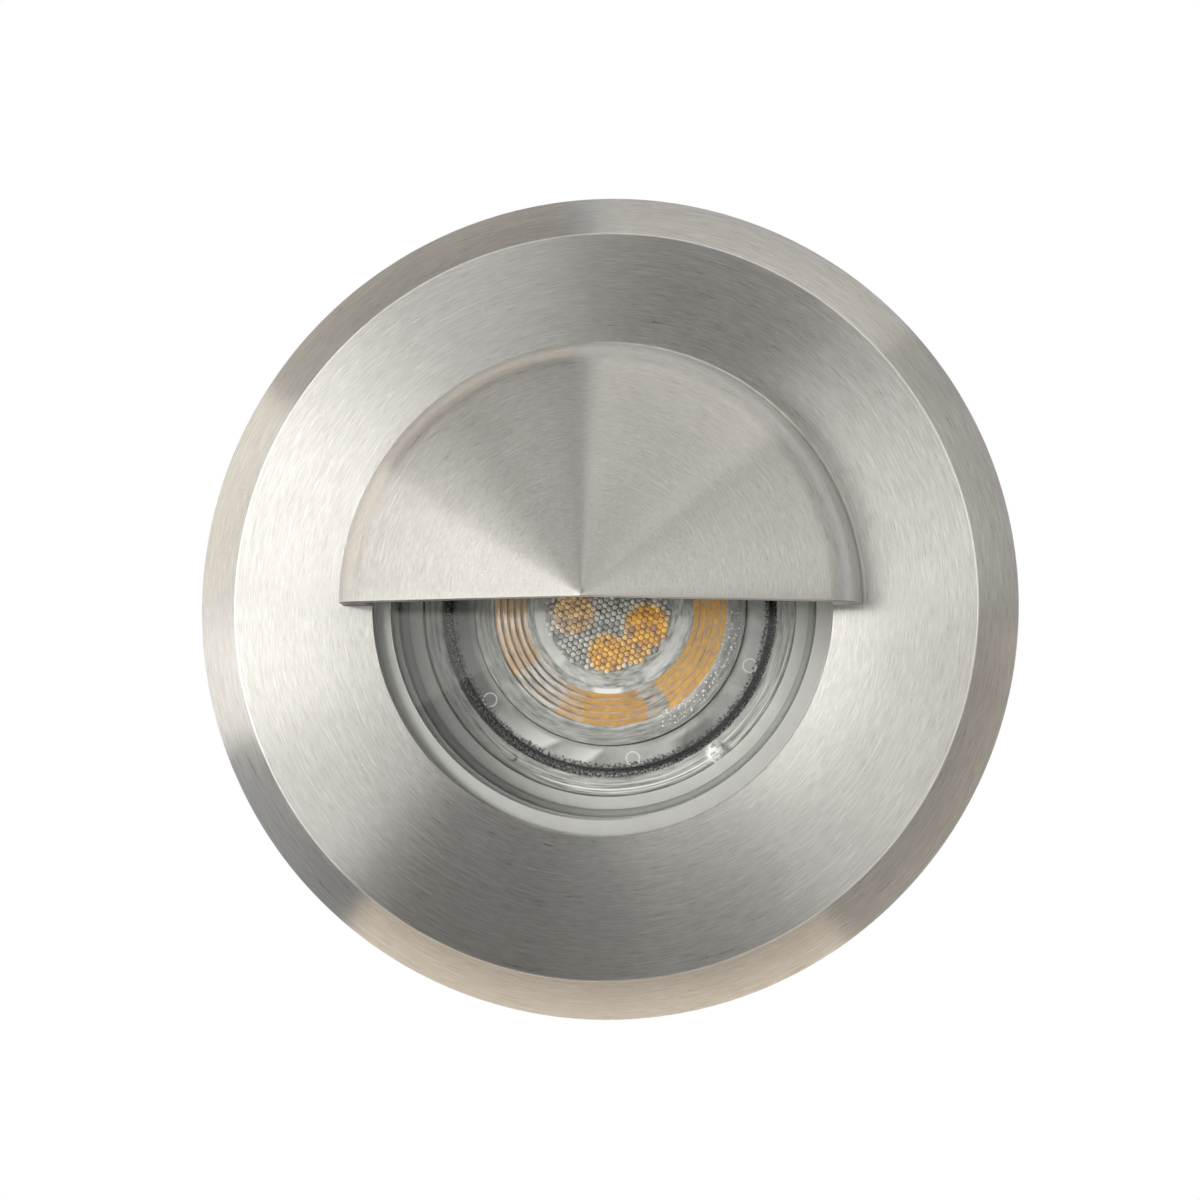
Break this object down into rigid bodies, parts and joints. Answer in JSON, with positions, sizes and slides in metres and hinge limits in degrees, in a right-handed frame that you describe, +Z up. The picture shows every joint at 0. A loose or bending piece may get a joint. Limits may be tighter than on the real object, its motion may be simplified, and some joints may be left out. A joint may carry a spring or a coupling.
{
  "type": "step light",
  "caption": "Round recessed step light with a half-dome eyelid over a glass window, a reflector lamp, a rear cable gland and folding spring clips.",
  "frame": {"origin": "on the light's axis, in the plane of the flange's back face, which lies against the wall", "axes": "+Y along the light's axis into the wall, -Y the way the face looks, +Z up with the eyelid above"},
  "size_m": [0.11, 0.1214, 0.11],
  "materials": {
    "brushed_stainless": "turned and brushed, fine concentric scratches",
    "gasket_rubber": "matt black",
    "toughened_glass": "clear, ground edges",
    "grey_silicone": "satin grey",
    "cast_aluminium": "machined and bead blasted",
    "bright_steel": "bright, rolled or drawn",
    "pressed_glass": "pressed glass",
    "grey_plastic": "satin moulded",
    "clear_plastic": "clear moulded acrylic",
    "board_laminate": "white solder mask",
    "phosphor": "amber phosphor in silicone",
    "white_ceramic": "unglazed white",
    "nickel_brass": "nickel plated",
    "lead_insulation": "silicone sleeve",
    "terminal_plastic": "translucent nylon",
    "slip_plastic": "smooth nylon",
    "pad_plastic": "black extruded sleeve"
  },
  "bodies": {
    "light_body": {"eyelid_fascia": "brushed_stainless", "wall_gasket": "gasket_rubber", "front_glass": "toughened_glass", "glass_gasket": "grey_silicone", "housing_barrel": "cast_aluminium", "fascia_screws": "bright_steel", "lamp_carrier_ring": "cast_aluminium", "lamp_circlip": "bright_steel", "lamp_glass_cup": "pressed_glass", "lamp_lens_holder": "grey_plastic", "lamp_lens": "clear_plastic", "lamp_led_board": "board_laminate", "lamp_led_chips": "phosphor", "lamp_heat_sink": "cast_aluminium", "lamp_base": "white_ceramic", "lamp_pins": "nickel_brass", "lampholder": "white_ceramic", "lampholder_contacts": "nickel_brass", "lamp_lead_left": "lead_insulation", "lamp_lead_right": "lead_insulation", "terminal_block": "terminal_plastic", "terminal_tubes": "nickel_brass", "terminal_screws": "bright_steel", "terminal_block_screw": "bright_steel", "rear_cap": "cast_aluminium", "rear_cap_seal": "gasket_rubber", "rear_cap_screws": "bright_steel", "gland_body": "nickel_brass", "gland_sealing_washer": "gasket_rubber", "gland_seal": "gasket_rubber", "clip_rivets": "bright_steel", "clip_bracket_left": "bright_steel", "clip_pin_left": "bright_steel", "clip_spring_left": "bright_steel", "clip_bracket_right": "bright_steel", "clip_pin_right": "bright_steel", "clip_spring_right": "bright_steel"},
    "clip_arm_left": {"clip_arm_left": "bright_steel", "clip_pad_left": "pad_plastic"},
    "clip_arm_right": {"clip_arm_right": "bright_steel", "clip_pad_right": "pad_plastic"},
    "gland_slip_ring": {"gland_slip_ring": "slip_plastic"},
    "gland_nut": {"gland_nut": "nickel_brass"}
  },
  "joints": [
    {"name": "clip_swing_left", "type": "hinge", "parent": "light_body", "child": "clip_arm_left", "pos_m": [-0.037, 0.02, 0], "axis": [0, 0, -1], "range_deg": [-28, 130], "stiffness_Nm_per_rad": 0.06, "deforming": ["clip_spring_left"]},
    {"name": "clip_swing_right", "type": "hinge", "parent": "light_body", "child": "clip_arm_right", "pos_m": [0.037, 0.02, 0], "axis": [0, 0, 1], "range_deg": [-28, 130], "stiffness_Nm_per_rad": 0.06, "deforming": ["clip_spring_right"]},
    {"name": "gland_nut_travel", "type": "slide", "parent": "light_body", "child": "gland_slip_ring", "axis": [0, 1, 0], "range_m": [0, 0.0015]},
    {"name": "gland_nut_turn", "type": "hinge", "parent": "gland_slip_ring", "child": "gland_nut", "pos_m": [0, 0.0965, 0], "axis": [0, 1, 0], "range_deg": [0, 360]}
  ],
  "couplings": [
    {"joint": "gland_nut_turn", "follows": "gland_nut_travel", "rad_per_m": 4188.8}
  ]
}
